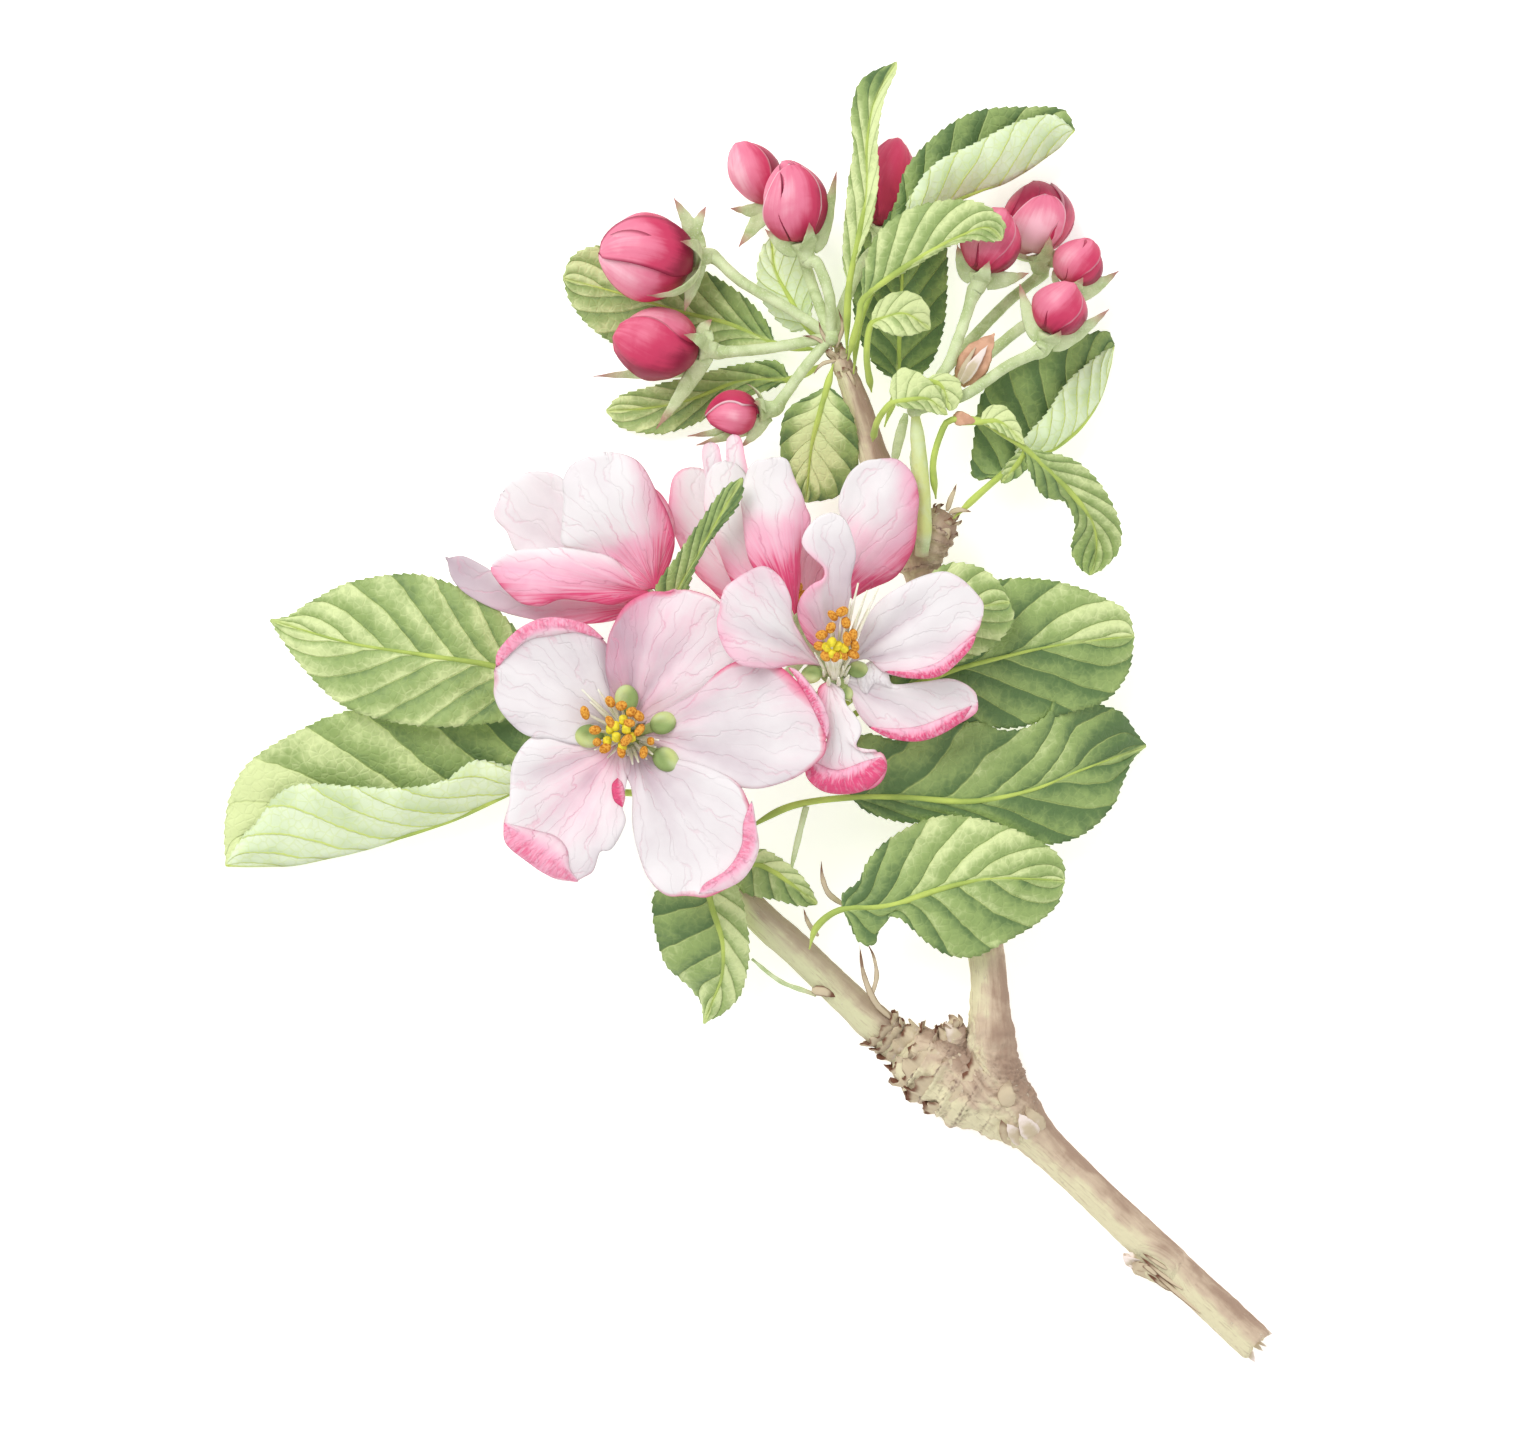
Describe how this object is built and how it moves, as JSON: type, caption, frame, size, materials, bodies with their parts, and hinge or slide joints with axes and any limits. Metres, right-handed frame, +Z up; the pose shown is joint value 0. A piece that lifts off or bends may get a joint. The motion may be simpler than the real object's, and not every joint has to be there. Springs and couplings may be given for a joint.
{
  "type": "flowering apple branch",
  "caption": "Cut apple branch lying on a surface, with open white and pink blossoms, crimson buds on green stalks and serrated leaves.",
  "frame": {"origin": "middle of the branch's outline on the surface that it lies on", "axes": "+Z up from the surface, +Y along the branch towards the bud clusters, +X across it to the side of the cut end"},
  "size_m": [0.1579, 0.1951, 0.0374],
  "materials": {
    "bark": "matte",
    "leaf": "satin",
    "green_stalk": "matte",
    "petal": "satin",
    "bud_petal": "satin",
    "stamen": "matte"
  },
  "bodies": {
    "root": {"branch_wood": "bark", "bud_east_first": "bud_petal", "bud_east_front": "bud_petal", "bud_east_middle": "bud_petal", "bud_east_top": "bud_petal", "bud_large": "bud_petal", "bud_north_back": "bud_petal", "bud_north_east": "bud_petal", "bud_north_front": "bud_petal", "bud_second": "bud_petal", "bud_small_south": "bud_petal", "flower_stalks": "green_stalk", "front_flower_petal_1": "petal", "front_flower_petal_2": "petal", "front_flower_petal_3": "petal", "front_flower_petal_4": "petal", "front_flower_petal_5": "petal", "front_flower_stamens": "stamen", "leaf_arched_north": "leaf", "leaf_bent_pair": "leaf", "leaf_between_flowers": "leaf", "leaf_curled_small": "leaf", "leaf_curly_east": "leaf", "leaf_dark_north": "leaf", "leaf_east_dark": "leaf", "leaf_east_front": "leaf", "leaf_east_pale": "leaf", "leaf_east_round": "leaf", "leaf_folded_east": "leaf", "leaf_folded_north": "leaf", "leaf_hanging": "leaf", "leaf_pale_north": "leaf", "leaf_round_centre": "leaf", "leaf_small_south": "leaf", "leaf_twisted_north": "leaf", "leaf_under_large_bud": "leaf", "leaf_under_second_bud": "leaf", "leaf_west_lower": "leaf", "leaf_west_upper": "leaf", "left_bud_stalks": "green_stalk", "right_bud_stalks": "green_stalk", "right_flower_petal_1": "petal", "right_flower_petal_2": "petal", "right_flower_petal_3": "petal", "right_flower_petal_4": "petal", "right_flower_petal_5": "petal", "right_flower_stamens": "stamen", "upper_flower_petal_1": "petal", "upper_flower_petal_2": "petal", "upper_flower_petal_3": "petal", "upper_flower_petal_4": "petal", "upper_flower_petal_5": "petal", "upper_flower_stamens": "stamen", "west_flower_petal_1": "petal", "west_flower_petal_2": "petal", "west_flower_petal_3": "petal", "west_flower_petal_4": "petal", "west_flower_petal_5": "petal", "west_flower_stamens": "stamen"}
  },
  "joints": []
}
